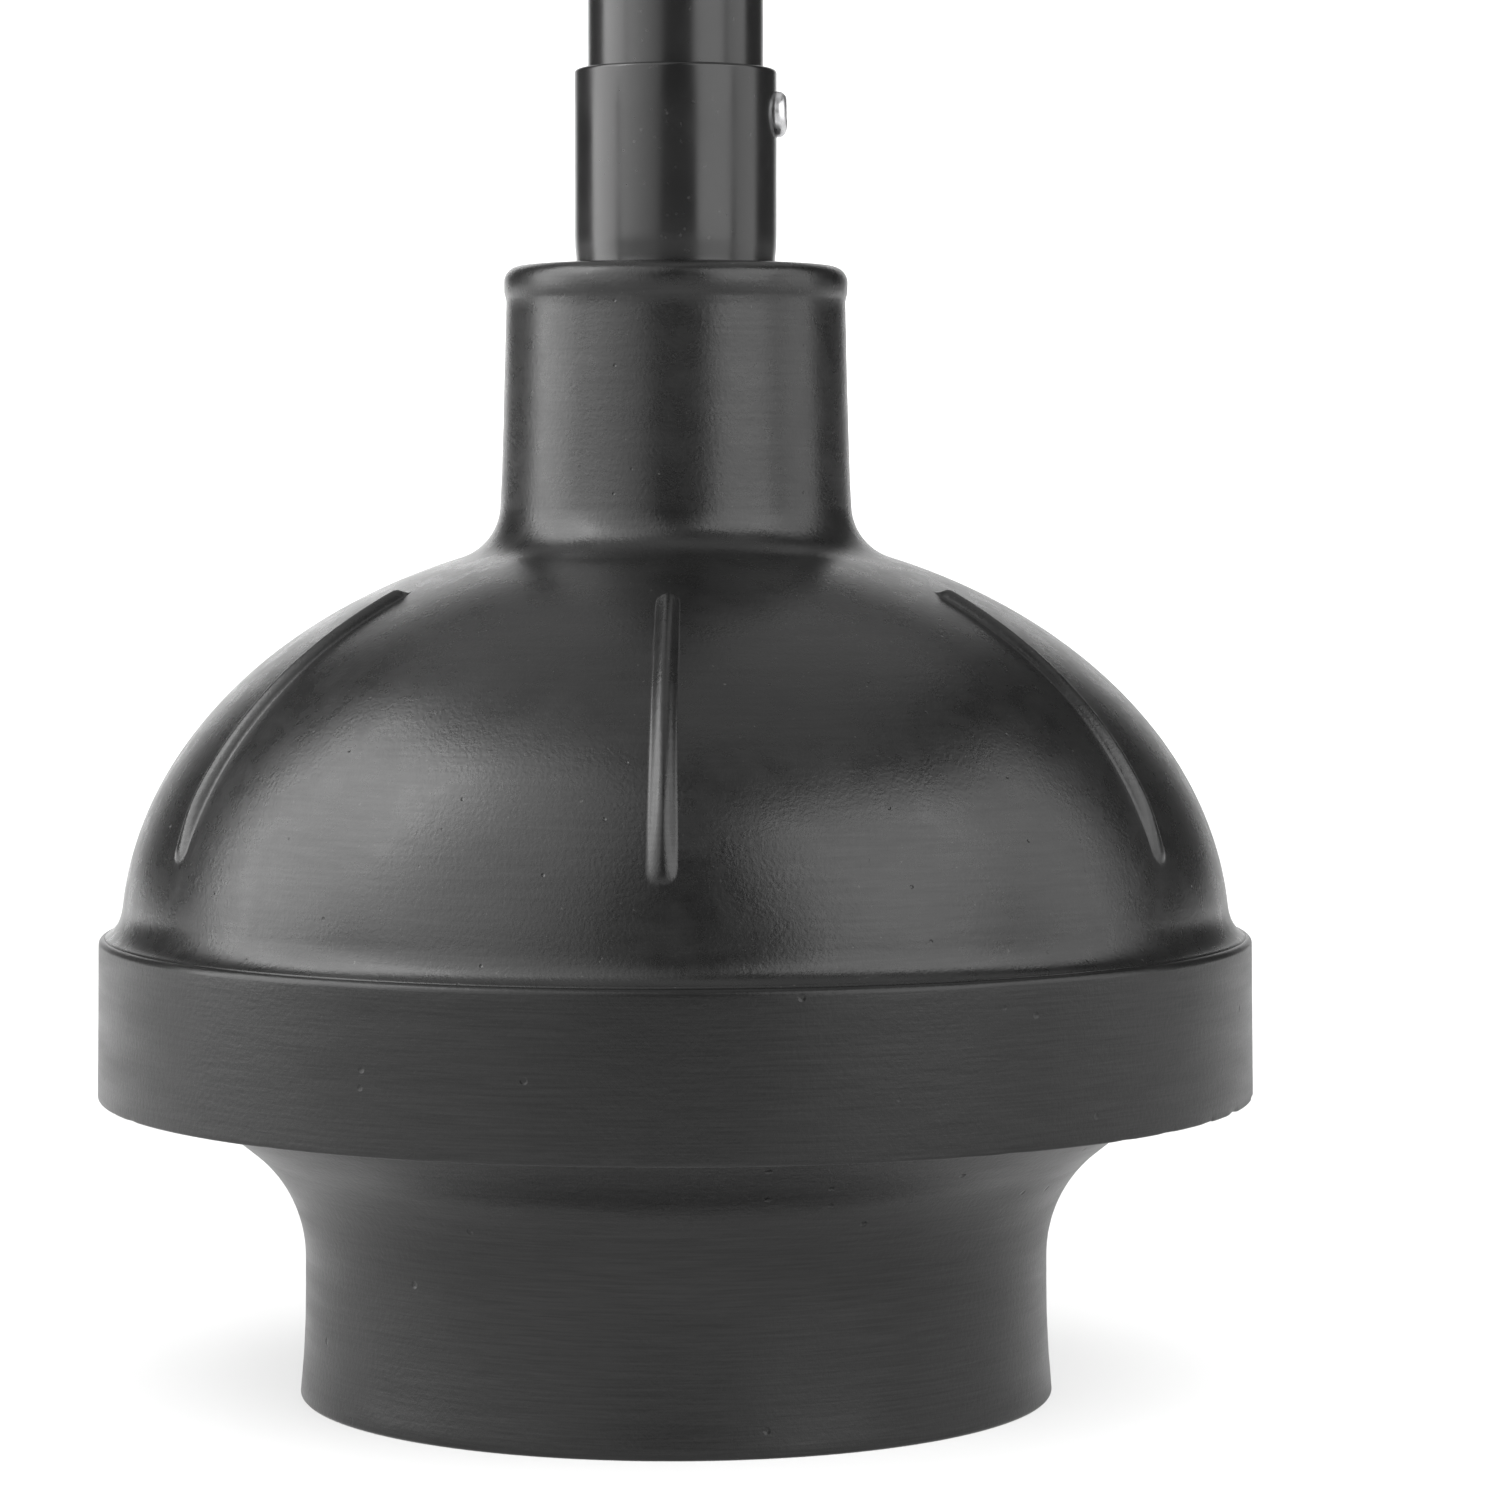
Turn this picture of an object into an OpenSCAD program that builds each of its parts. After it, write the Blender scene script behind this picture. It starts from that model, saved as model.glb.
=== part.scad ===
// Heavy-duty plunger with a fold-out flange: a moulded rubber cup on a steel tube handle.
// Units are millimetres. The origin is on the axis, on the plane that the flange stands on; +Z is up.

/* [Rim] */
// Outer radius of the rim band at its lower edge
rim_r = 72.7; // [68:0.1:78]
// Draft of the band: how much narrower it is at its top
rim_draft = 0.2; // [0:0.1:1]
// Height of the band's flat lower face above the floor
rim_bottom_z = 38.2; // [36:0.1:42]
// Height of the band's upper arris
rim_top_z = 58.3; // [54:0.1:62]
// Inner radius of the rim
rim_inner_r = 66; // [64:0.5:68]
// Rounding of the band's lower edge
rim_edge_r = 0.3; // [0.2:0.1:1]
// Rounding of the band's upper arris
rim_arris_r = 0.9; // [0.2:0.1:1]

/* [Dome] */
// Outer radius of the dome's ellipse
dome_a = 69.7; // [66:0.1:70]
// Outer height of the dome's ellipse
dome_b = 51.6; // [45:0.1:56]
// Wall thickness of the dome
dome_wall = 4; // [3:0.1:5]

/* [Ribs] */
// Number of raised ribs on the dome
rib_count = 6; // [3:1:8]
// Turn of the first rib clockwise from the front, in degrees
rib_turn = 0.5; // [0:0.5:30]
// Width of a rib at its lower end
rib_w_low = 3.3; // [2:0.1:6]
// Width of a rib at its upper end
rib_w_high = 2.7; // [2:0.1:6]
// How far a rib stands off the dome
rib_h = 1.1; // [0.5:0.1:2]
// Height at which a rib starts
rib_low_z = 69.5; // [66:0.5:80]
// Height at which a rib ends
rib_high_z = 101.5; // [90:0.5:102]

/* [Neck] */
// Radius of the neck at its foot
neck_foot_r = 22.1; // [21:0.1:24]
// Radius of the neck under its bead
neck_top_r = 21.3; // [20:0.1:22]
// Radius of the bead round the neck's mouth
neck_bead_r = 21.6; // [21.4:0.1:23]
// Height of the neck's mouth
neck_top_z = 142; // [140:0.5:146]
// Radius of the fillet between neck and dome
neck_fillet_r = 7; // [5:0.5:8]
// Radius of the thrust boss under the neck, inside the cup
boss_r = 18; // [16:0.5:20]
// Height of the boss's lower face
boss_z = 100; // [98:0.5:102]

/* [Flange] */
// Radius of the flange at its foot
flange_r = 47.6; // [46:0.1:49]
// Radius of the flange at its waist
flange_waist_r = 46.9; // [45:0.1:47]
// Wall thickness of the flange
flange_wall = 3.2; // [2.6:0.1:4]
// Height of the lip that ends the flange
lip_h = 6; // [4:0.5:9]
// Height at which the flange starts to flare out to the rim
flare_z = 17.5; // [15:0.5:18]
// Radius of the flare's curve
flare_r = 18; // [16:0.5:18]
// Slope of the flare from upright where it runs straight up to the rim, in degrees
flare_slope = 51; // [45:1:51]

/* [Ferrule] */
// Outer radius of the steel ferrule
ferrule_r = 12.7; // [12:0.1:14]
// Wall thickness of the ferrule
ferrule_wall = 1.6; // [1.2:0.1:1.6]
// Height of the ferrule's upper end
ferrule_top_z = 166.6; // [160:0.1:180]
// Radius of the ferrule where it is swaged in at the neck
ferrule_swage_r = 12.5; // [12.3:0.1:12.6]

/* [Tube] */
// Outer radius of the handle tube
tube_r = 11; // [10:0.1:11]
// Wall thickness of the handle tube
tube_wall = 1; // [0.8:0.1:1.5]
// Height of the tube's upper end
tube_top_z = 534; // [420:1:700]

/* [Rivet] */
// Height of the blind rivet's axis
rivet_z = 161; // [155:0.5:163]
// Turn of the rivet clockwise from +X, in degrees
rivet_turn = 3; // [0:1:90]
// Radius of the rivet's shank
rivet_shank_r = 1.6; // [1.2:0.1:2]
// Radius of the rivet's domed head
rivet_head_r = 2.9; // [2.6:0.1:3.4]
// How far the head stands off the ferrule
rivet_head_h = 1.3; // [0.8:0.1:1.5]

/* [Grip and cap] */
// Length of the grip
grip_len = 124; // [90:1:140]
// Largest radius of the grip
grip_r = 15.6; // [14:0.1:18]
// Radius of the cap's collar
cap_r = 14.6; // [13.5:0.1:16]
// Outer radius of the hanging eye
eye_r = 10.5; // [9:0.1:12]
// Thickness of the hanging eye
eye_t = 8; // [6:0.5:10]
// Radius of the hole through the hanging eye
eye_hole_r = 4.5; // [3:0.1:6]

/* [Hidden] */
rubber = "#1c1c1c";
black_paint = "#141414";
black_plastic = "#222222";
zinc = "#b9bbbd";
bare_steel = "#8d9093";
fit = 0.02;
fn_round = 96;
steps = 12;

// The dome's outer and inner ellipses share a centre on the axis, just below the band's upper arris.
dome_c_z = rim_top_z - 0.3;
inner_a = dome_a - dome_wall;
inner_b = dome_b - dome_wall;
root_h = 4;
dome_low_z = dome_c_z + root_h;
dome_high_r = 31;
outer_low = asin(root_h / dome_b);
outer_high = acos(dome_high_r / dome_a);
inner_low = asin(root_h / inner_b);
inner_high = acos(dome_high_r / inner_a);
rib_low = asin((rib_low_z - dome_c_z) / dome_b);
rib_high = asin((rib_high_z - dome_c_z) / dome_b);

// The neck's fillet touches its wall and, lower down, the dome.
fillet_c_r = neck_foot_r + neck_fillet_r;
dome_slope = 17.8;
fillet_touch_r = fillet_c_r - neck_fillet_r * sin(dome_slope);
fillet_c_z = dome_z(fillet_touch_r, dome_a, dome_b) + neck_fillet_r * cos(dome_slope);
bead_low_z = neck_top_z - 4.2;
bead_edge_r = 2;
socket_z = 108;

// The flange's flare is an arc and then a cone, which meets the band's flat lower face.
flare_c_r = flange_waist_r + flare_r;
flange_inner_r = flange_waist_r - flange_wall;
flare_end_r = flare_c_r - flare_r * cos(flare_slope);
flare_end_z = flare_z + flare_r * sin(flare_slope);
flange_joint_r = flare_end_r + (rim_bottom_z - flare_end_z) * tan(flare_slope);
shelf_top_z = rim_bottom_z + flange_wall / sin(flare_slope);
lip_edge_r = 0.5;
lip_swell = 0.25;
lip_swell_h = 7;

bung_head_h = 3;
ferrule_low_z = socket_z + bung_head_h;
ferrule_inner_r = ferrule_r - ferrule_wall;
ferrule_bead_low_z = 121.5;
ferrule_bead_len = 5;
ferrule_bead_h = 1;
swage_low_z = neck_top_z + 1;
swage_high_z = neck_top_z + 4;
tube_low_z = ferrule_low_z + 2;
tube_inner_r = tube_r - tube_wall;
bung_top_z = tube_low_z + 18;
mandrel_r = 0.9;
rivet_hole_r = rivet_shank_r + 0.05;
bulb_r = 2.4;

grip_high_z = tube_top_z - 0.5;
grip_low_z = grip_high_z - grip_len;
grip_groove_count = 5;
grip_groove_pitch = 17;
grip_groove_h = 0.9;
grip_groove_half = 3;
cap_collar_h = 4;
cap_stem_h = 20;
eye_rise = 15.5;
eye_z = tube_top_z + eye_rise;

function dome_z(r, a, b) = dome_c_z + b * sqrt(1 - pow(r / a, 2));

// Points of an elliptical arc round [cr, cz], from one angle to another
function arc(cr, cz, a, b, from, to, n = steps) =
    [for (i = [0:n]) [cr + a * cos(from + (to - from) * i / n), cz + b * sin(from + (to - from) * i / n)]];

// A point part of the way along a curve that leaves a towards b and arrives at c from b
function bent(a, b, c, t) = (1 - t) * (1 - t) * a + 2 * t * (1 - t) * b + t * t * c;

module turned(points) {
    rotate_extrude($fn = fn_round) polygon(points);
}

// Places a shape that is drawn along +X at the rivet, pointing out of the tube
module at_rivet() {
    translate([0, 0, rivet_z]) rotate([0, 0, -rivet_turn]) rotate([0, 90, 0]) children();
}

// Thick rim band with the flat lower face that seals on a sink when the flange is folded away
module cup_rim() {
    arris_c_r = rim_r - rim_draft - rim_arris_r;
    root = [dome_a * cos(outer_low), dome_low_z];
    corner_r = 3;
    corner_rise = 1;
    color(rubber) turned(concat(
        [[flange_joint_r, rim_bottom_z]],
        arc(rim_r - rim_edge_r, rim_bottom_z + rim_edge_r, rim_edge_r, rim_edge_r, -90, 0, 5),
        arc(arris_c_r, rim_top_z - rim_arris_r, rim_arris_r, rim_arris_r, 0, 90, 4),
        [for (i = [1:4]) bent([arris_c_r, rim_top_z], [dome_a + 0.1, rim_top_z + 1], root, i / 5)],
        [root,
         [inner_a * cos(inner_low), dome_low_z], [inner_a, dome_c_z]],
        arc(rim_inner_r - corner_r, shelf_top_z + corner_rise + corner_r, corner_r, corner_r, 0, -50, 4),
        [[flange_joint_r, shelf_top_z]]));
}

// Flexible dome with its raised ribs
module cup_dome() {
    color(rubber) {
        turned(concat(
            arc(0, dome_c_z, dome_a, dome_b, outer_low, outer_high, 24),
            arc(0, dome_c_z, inner_a, inner_b, inner_high, inner_low, 24)));
        for (i = [0:rib_count - 1]) rotate([0, 0, -90 - rib_turn + i * 360 / rib_count]) rib();
    }
}

// One rib along +X: a tapered radial slab cut from a thin shell over the dome
module rib() {
    intersection() {
        rotate_extrude($fn = fn_round) polygon(concat(
            arc(0, dome_c_z, dome_a - 1, dome_b - 1, rib_high, rib_low, steps),
            arc(0, dome_c_z, dome_a + rib_h, dome_b + rib_h, rib_low + 1.2, rib_high - 1, steps)));
        linear_extrude(height = neck_top_z) polygon([
            [30, -rib_w_high / 2], [dome_a + 3, -rib_w_low / 2],
            [dome_a + 3, rib_w_low / 2], [30, rib_w_high / 2]]);
    }
}

// Blind neck: a thick collar that takes the handle, closed below by the thrust boss
module cup_neck() {
    bore_r = ferrule_swage_r + fit;
    boss_flare = [boss_r + 4, boss_z + 2.2];
    color(rubber) difference() {
        turned(concat(
            [[0, boss_z], [boss_r, boss_z], boss_flare,
             [dome_high_r, dome_z(dome_high_r, inner_a, inner_b)],
             [dome_high_r, dome_z(dome_high_r, dome_a, dome_b)]],
            arc(fillet_c_r, fillet_c_z, neck_fillet_r, neck_fillet_r, 270 - dome_slope, 180, 8),
            [[neck_top_r, bead_low_z - 4], [neck_top_r, bead_low_z],
             [neck_bead_r, bead_low_z + 0.6]],
            arc(neck_bead_r - bead_edge_r, neck_top_z - bead_edge_r, bead_edge_r, bead_edge_r, 0, 90, 6),
            [[0, neck_top_z]]));
        translate([0, 0, socket_z]) cylinder(r = bore_r, h = neck_top_z, $fn = fn_round);
        turned(ferrule_bead(bore_r, ferrule_bead_h + fit));
    }
}

// Section of the bead rolled into the ferrule, which locks it in the rubber
function ferrule_bead(r, h) = concat([[r - 1, ferrule_bead_low_z]],
    [for (i = [0:8]) [r + h * sin(180 * i / 8), ferrule_bead_low_z + ferrule_bead_len * i / 8]],
    [[r - 1, ferrule_bead_low_z + ferrule_bead_len]]);

// Soft skirt that flares from the lip out to the rim
module flange_skirt() {
    color(rubber) turned(concat(
        [[flange_inner_r, lip_h], [flange_waist_r + lip_swell, lip_h],
         [flange_waist_r, lip_h + lip_swell_h]],
        arc(flare_c_r, flare_z, flare_r, flare_r, 180, 180 - flare_slope),
        [[flange_joint_r, rim_bottom_z], [flange_joint_r, shelf_top_z]],
        arc(flare_c_r, flare_z, flare_r + flange_wall, flare_r + flange_wall, 180 - flare_slope, 180)));
}

// Lip that the plunger stands on and that pushes up inside the cup
module flange_lip() {
    color(rubber) turned(concat(
        [[flange_inner_r, 0]],
        arc(flange_r - lip_edge_r, lip_edge_r, lip_edge_r, lip_edge_r, -90, 0, 4),
        [[flange_waist_r + lip_swell, lip_h], [flange_inner_r, lip_h]]));
}

// Steel ferrule that is moulded into the neck and takes the handle tube
module ferrule() {
    color(black_paint) difference() {
        union() {
            turned(concat(
                [[0, ferrule_low_z], [ferrule_swage_r, ferrule_low_z], [ferrule_swage_r, swage_low_z],
                 [ferrule_r, swage_high_z]],
                arc(ferrule_r - 0.6, ferrule_top_z - 0.6, 0.6, 0.6, 0, 90, 4),
                [[0, ferrule_top_z]]));
            turned(ferrule_bead(ferrule_swage_r, ferrule_bead_h));
        }
        translate([0, 0, ferrule_low_z - 1])
            cylinder(r = ferrule_inner_r, h = ferrule_top_z, $fn = fn_round);
        at_rivet() cylinder(r = rivet_hole_r, h = 2 * ferrule_r, $fn = 32);
    }
}

// Bung that closes the tube's lower end and spreads its thrust on the neck's floor
module tube_bung() {
    color(black_plastic) union() {
        translate([0, 0, socket_z])
            cylinder(r = ferrule_swage_r - 0.1, h = bung_head_h, $fn = fn_round);
        translate([0, 0, socket_z]) cylinder(r = tube_r, h = tube_low_z - socket_z, $fn = fn_round);
        translate([0, 0, socket_z])
            cylinder(r = tube_inner_r - fit, h = bung_top_z - socket_z, $fn = fn_round);
    }
}

// Steel tube of the handle
module handle_tube() {
    color(black_paint) difference() {
        translate([0, 0, tube_low_z])
            cylinder(r = tube_r, h = tube_top_z - tube_low_z, $fn = fn_round);
        translate([0, 0, tube_low_z - 1])
            cylinder(r = tube_inner_r, h = tube_top_z - tube_low_z + 2, $fn = fn_round);
        at_rivet() cylinder(r = rivet_hole_r, h = 2 * tube_r, $fn = 32);
    }
}

// Blind rivet: domed head outside the ferrule, shank, and the bulb pulled up inside the tube
module rivet_body() {
    head_low = ferrule_r - 0.5;
    head_top = ferrule_r + rivet_head_h;
    color(zinc) difference() {
        union() {
            difference() {
                at_rivet() rotate_extrude($fn = 48) polygon(concat(
                    [[0, head_low], [rivet_head_r, head_low]],
                    arc(0, ferrule_r + 0.2, rivet_head_r, rivet_head_h - 0.2, 0, 90, 8)));
                cylinder(r = ferrule_r, h = ferrule_top_z, $fn = fn_round);
            }
            at_rivet() translate([0, 0, tube_inner_r - 3.2])
                cylinder(r = rivet_shank_r, h = head_top - tube_inner_r + 2, $fn = 32);
            intersection() {
                at_rivet() rotate_extrude($fn = 48) polygon([
                    [0, tube_inner_r - 3.2], [rivet_shank_r, tube_inner_r - 3.2],
                    [bulb_r, tube_inner_r - 1.6], [bulb_r, tube_inner_r], [0, tube_inner_r]]);
                cylinder(r = tube_inner_r - fit, h = tube_top_z, $fn = fn_round);
            }
        }
        at_rivet() cylinder(r = mandrel_r + fit, h = 2 * ferrule_r, $fn = 32);
    }
}

// What is left of the rivet's pulled mandrel, its head against the bulb
module rivet_mandrel() {
    head_top = tube_inner_r - 3.25;
    color(bare_steel) at_rivet() rotate_extrude($fn = 48) polygon(concat(
        arc(0, head_top - 0.8, 1.5, 1.4, -90, 0, 5),
        [[1.5, head_top], [mandrel_r, head_top], [mandrel_r, ferrule_r + rivet_head_h - 0.55],
         [0, ferrule_r + rivet_head_h - 0.35]]));
}

// Grip pushed over the tube, with a round groove at each finger
module grip() {
    mid_z = (grip_low_z + grip_high_z) / 2;
    first_z = mid_z - (grip_groove_count - 1) / 2 * grip_groove_pitch;
    color(rubber) difference() {
        turned(concat(
            [[0, grip_low_z]],
            arc(grip_r - 3, grip_low_z + 3, 2.4, 3, -90, 0, 6),
            [[grip_r, mid_z]],
            arc(grip_r - 3, grip_high_z - 2, 2.4, 2, 0, 90, 5),
            [[0, grip_high_z]]));
        translate([0, 0, grip_low_z - 1]) cylinder(r = tube_r + fit, h = grip_len + 2, $fn = fn_round);
        for (i = [0:grip_groove_count - 1]) turned([for (k = [0:10]) [
            grip_r + 0.3 - 1.4 * grip_groove_h * sin(180 * k / 10),
            first_z + i * grip_groove_pitch + grip_groove_half * (k / 5 - 1)]]);
    }
}

// Cap pressed into the tube's upper end, with the eye that hangs the plunger up
module hang_cap() {
    color(black_plastic) difference() {
        union() {
            turned(concat(
                [[0, tube_top_z - cap_stem_h], [tube_inner_r - 1, tube_top_z - cap_stem_h],
                 [tube_inner_r - fit, tube_top_z - cap_stem_h + 2], [tube_inner_r - fit, tube_top_z],
                 [cap_r, tube_top_z]],
                arc(cap_r - 3.6, tube_top_z + 1, 3.6, cap_collar_h, 0, 90, 8),
                [[0, tube_top_z + 1 + cap_collar_h]]));
            translate([-eye_r, -eye_t / 2, tube_top_z + 2])
                cube([2 * eye_r, eye_t, eye_z - tube_top_z - 2]);
            translate([0, eye_t / 2, eye_z]) rotate([90, 0, 0])
                cylinder(r = eye_r, h = eye_t, $fn = fn_round);
        }
        translate([0, eye_t, eye_z]) rotate([90, 0, 0])
            cylinder(r = eye_hole_r, h = 2 * eye_t, $fn = 48);
    }
}

cup_rim();
cup_dome();
cup_neck();
flange_skirt();
flange_lip();
ferrule();
tube_bung();
handle_tube();
rivet_body();
rivet_mandrel();
grip();
hang_cap();
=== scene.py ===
"""A heavy-duty flanged plunger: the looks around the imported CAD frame. All lengths are in metres."""

import math

import bpy
import numpy as np
from mathutils import Matrix, Vector


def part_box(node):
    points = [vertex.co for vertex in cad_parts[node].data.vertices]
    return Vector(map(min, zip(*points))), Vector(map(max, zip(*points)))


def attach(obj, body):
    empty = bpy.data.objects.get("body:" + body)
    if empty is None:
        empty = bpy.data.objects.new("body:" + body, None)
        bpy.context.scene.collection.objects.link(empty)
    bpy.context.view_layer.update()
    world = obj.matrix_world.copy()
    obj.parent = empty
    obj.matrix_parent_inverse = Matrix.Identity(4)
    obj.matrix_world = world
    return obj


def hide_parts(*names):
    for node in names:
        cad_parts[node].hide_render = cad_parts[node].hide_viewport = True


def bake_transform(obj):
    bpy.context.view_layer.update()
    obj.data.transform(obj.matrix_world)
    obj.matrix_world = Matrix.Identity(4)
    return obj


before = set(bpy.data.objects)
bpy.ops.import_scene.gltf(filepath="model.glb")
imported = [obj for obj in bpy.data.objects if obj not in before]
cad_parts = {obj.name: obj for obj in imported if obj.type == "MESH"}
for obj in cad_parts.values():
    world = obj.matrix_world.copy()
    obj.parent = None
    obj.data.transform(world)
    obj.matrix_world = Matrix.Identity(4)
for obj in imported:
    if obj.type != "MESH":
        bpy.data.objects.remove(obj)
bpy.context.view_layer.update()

MM = 0.001

# ---------------------------------------------------------------- sizes
# The boxes are read from the frame. The rest repeat the CAD's sizes, with some roundings a little finer.
RIM_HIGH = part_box("cup_rim")[1]
NECK_LOW, NECK_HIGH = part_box("cup_neck")
SKIRT_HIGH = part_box("flange_skirt")[1]
LIP_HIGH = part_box("flange_lip")[1]
FERRULE_LOW, FERRULE_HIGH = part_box("ferrule")
TUBE_LOW, TUBE_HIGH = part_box("handle_tube")
GRIP_LOW, GRIP_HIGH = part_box("grip")

RIM_R = RIM_HIGH.x                      # outer radius of the rim band
RIM_BOTTOM = 38.2 * MM                  # the band's flat lower face
RIM_EDGE_R = 0.3 * MM                   # rounding of the band's lower edge
RIM_ARRIS = 58.3 * MM                   # the band's upper arris
RIM_ARRIS_R = 0.9 * MM
RIM_DRAFT = 0.2 * MM                    # how much narrower the band is at its arris
RIM_INNER_R = 66.0 * MM
RIM_CORNER_R = 3.0 * MM                 # rounding inside the rim, over the shelf
DOME_A = 69.7 * MM                      # the dome's ellipse, outside
DOME_B = 51.6 * MM
DOME_C = 58.0 * MM                      # the height of the ellipse's centre
DOME_WALL = 4.0 * MM
DOME_ROOT = 4.2 * MM                    # how far over the ellipse's centre the hollow above the band ends
NECK_FOOT_R = 22.1 * MM
NECK_TOP_R = 21.3 * MM
NECK_BEAD_R = 21.6 * MM
NECK_BEAD_H = 4.4 * MM                  # from the bead's lower end to the neck's top
NECK_LIP_R = 2.0 * MM
NECK_TOP = NECK_HIGH.z
NECK_FILLET_R = 7.0 * MM
DOME_SLOPE = math.radians(17.8)         # the dome's slope where the neck's fillet touches it
BOSS_Z = NECK_LOW.z                     # the thrust boss's lower face
BOSS_R = 16.5 * MM                      # its flat part
BOSS_FOOT_R = 23.0 * MM                 # where it meets the dome's inside
BOSS_CLEAR_R = 25.0 * MM                # where the dome's bare inside starts
SOCKET_Z = 108.0 * MM                   # floor of the neck's blind socket
FERRULE_R = 12.7 * MM
SWAGE_R = 12.5 * MM
FIT_GAP = 0.02 * MM                     # the neck's socket round the ferrule
TUBE_R = TUBE_HIGH.x
TUBE_WALL = 1.0 * MM
FLANGE_R = LIP_HIGH.x                   # outer radius of the flange's foot
FLANGE_WAIST_R = 46.9 * MM
FLANGE_WALL = 3.2 * MM
FLANGE_EDGE_R = 0.5 * MM                # rounding of the foot, outside
FLANGE_INNER_EDGE_R = 0.6 * MM
FLANGE_JOINT_R = SKIRT_HIGH.x           # where the flange joins the rim
SHELF_TOP = SKIRT_HIGH.z
FLARE_Z = 17.5 * MM                     # where the flange starts to flare
FLARE_R = 18.0 * MM
FLARE_SLOPE = 51.0                      # degrees from upright, where the flare runs straight to the rim

RIB_COUNT = 6
RIB_TURN = math.radians(0.5)
RIB_LOW_Z = 69.5 * MM
RIB_HIGH_Z = 101.5 * MM
RIB_W_LOW = 3.3 * MM
RIB_W_HIGH = 2.7 * MM
RIB_H = 1.05 * MM
RIB_SIDE = math.radians(6.5)            # the finely meshed stretch to either side of a rib

CHIP_H = 1.1 * MM                       # how far the chips in the band's lower edge reach up
CHIPS = ((-0.70, 0.10, 0.24 * MM, 14),  # (from and to what angle, the deepest, how many)
         (-math.pi, math.pi, 0.08 * MM, 30))

RIVET_Z = 161.0 * MM
RIVET_TURN = math.radians(3)            # clockwise from +X, seen from above
GRIP_GROOVES = 5
GRIP_PITCH = 17.0 * MM
GRIP_GROOVE_DEPTH = 1.0 * MM
GRIP_GROOVE_HALF = 3.2 * MM
GRIP_END_R = 3.0 * MM                   # rounding of the ends: how far in, down and up
GRIP_END_W = 2.4 * MM
GRIP_TOP_H = 2.5 * MM
GRIP_BELLY = 0.6 * MM                   # how much slimmer the ends are than the middle
CAP_VOXEL = 0.4 * MM


# ---------------------------------------------------------------- mesh tools
def arc(cr, cz, a, b, start, stop, n):
    """Points of an elliptical arc round (cr, cz), from start to stop in degrees."""
    t = np.radians(np.linspace(start, stop, n + 1))
    return list(zip(cr + a * np.cos(t), cz + b * np.sin(t)))


def bent(a, b, c, t):
    """A point part of the way along a curve that leaves a towards b and arrives at c from b."""
    return tuple((1 - t) ** 2 * p + 2 * t * (1 - t) * q + t * t * w for p, q, w in zip(a, b, c))


def refine(points, step):
    """The same outline with no stretch longer than step."""
    out = [points[0]]
    for (r0, z0), (r1, z1) in zip(points, points[1:]):
        n = max(1, math.ceil(math.hypot(r1 - r0, z1 - z0) / step))
        out += [(r0 + (r1 - r0) * k / n, z0 + (z1 - z0) * k / n) for k in range(1, n + 1)]
    return out


def revolve(name, outline, angles, offset=None, skin=None, closed=True):
    """Turns an outline of (radius, height) round Z.
    offset(theta, r, z) moves the outline's points in the slice skin along their normals."""
    same_place = 1e-7
    pts = np.array(outline, float)
    if closed and np.hypot(*(pts[0] - pts[-1])) < same_place:
        pts = pts[:-1]
    n, m = len(pts), len(angles)
    ahead = np.roll(pts, -1, 0) if closed else np.vstack([pts[1:], pts[-1:]])
    behind = np.roll(pts, 1, 0) if closed else np.vstack([pts[:1], pts[:-1]])
    along = ahead - behind
    normal = np.stack([along[:, 1], -along[:, 0]], 1)
    normal /= np.maximum(np.linalg.norm(normal, axis=1, keepdims=True), 1e-12)
    theta, r = np.meshgrid(angles, pts[:, 0])
    z = np.repeat(pts[:, 1:2], m, 1)
    if offset is not None:
        d = np.zeros_like(r)
        d[skin] = offset(theta[skin], r[skin], z[skin])
        r = r + d * normal[:, 0:1]
        z = z + d * normal[:, 1:2]
    co = np.stack([r * np.cos(theta), r * np.sin(theta), z], 2)
    verts, ring = [], []
    for i in range(n):
        if pts[i, 0] < same_place:
            ring.append([len(verts)] * m)
            verts.append((0.0, 0.0, z[i, 0]))
        else:
            ring.append(list(range(len(verts), len(verts) + m)))
            verts += [tuple(p) for p in co[i]]
    faces = []
    for i in range(n if closed else n - 1):
        low, high = ring[i], ring[(i + 1) % n]
        for k in range(m):
            j = (k + 1) % m
            quad = [low[k], low[j], high[j], high[k]]
            face = [v for q, v in enumerate(quad) if v != quad[q - 1]]
            if len(face) > 2:
                faces.append(face)
    return make_object(name, verts, faces)


def make_object(name, verts, faces):
    """A smoothly shaded mesh, put in the scene."""
    mesh = bpy.data.meshes.new(name)
    mesh.from_pydata(verts, [], faces)
    mesh.validate()
    mesh.update()
    mesh.shade_smooth()
    obj = bpy.data.objects.new(name, mesh)
    bpy.context.scene.collection.objects.link(obj)
    return obj


def even_angles(n):
    """n angles, once round."""
    return np.linspace(0, 2 * math.pi, n, endpoint=False)


def smooth(t):
    """0 up to t = 0, 1 from t = 1, and an easy rise between them."""
    t = np.clip(t, 0, 1)
    return t * t * (3 - 2 * t)


def turned(theta, direction):
    """The angle from the direction, between -pi and pi."""
    return (theta - direction + math.pi) % (2 * math.pi) - math.pi


def waves(theta, z, size, seed):
    """A slow waviness round and up the surface, the same each run."""
    rng = np.random.default_rng(seed)
    steepest = 40                        # radians per metre of height, for each wave round
    total = np.zeros_like(theta)
    for turns in (2, 3, 5, 7, 11, 17):
        phase, tilt = rng.uniform(0, 2 * math.pi), rng.uniform(-1, 1) * steepest
        total += np.sin(turns * theta + phase + tilt * z * turns) / math.sqrt(turns)
    return total * size


# ---------------------------------------------------------------- materials
def add(tree, kind, **values):
    """A new node, with each value set on the input or the property of that name."""
    node = tree.nodes.new(kind)
    for key, value in values.items():
        if key in node.inputs:
            node.inputs[key].default_value = value
        else:
            setattr(node, key, value)
    return node


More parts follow.
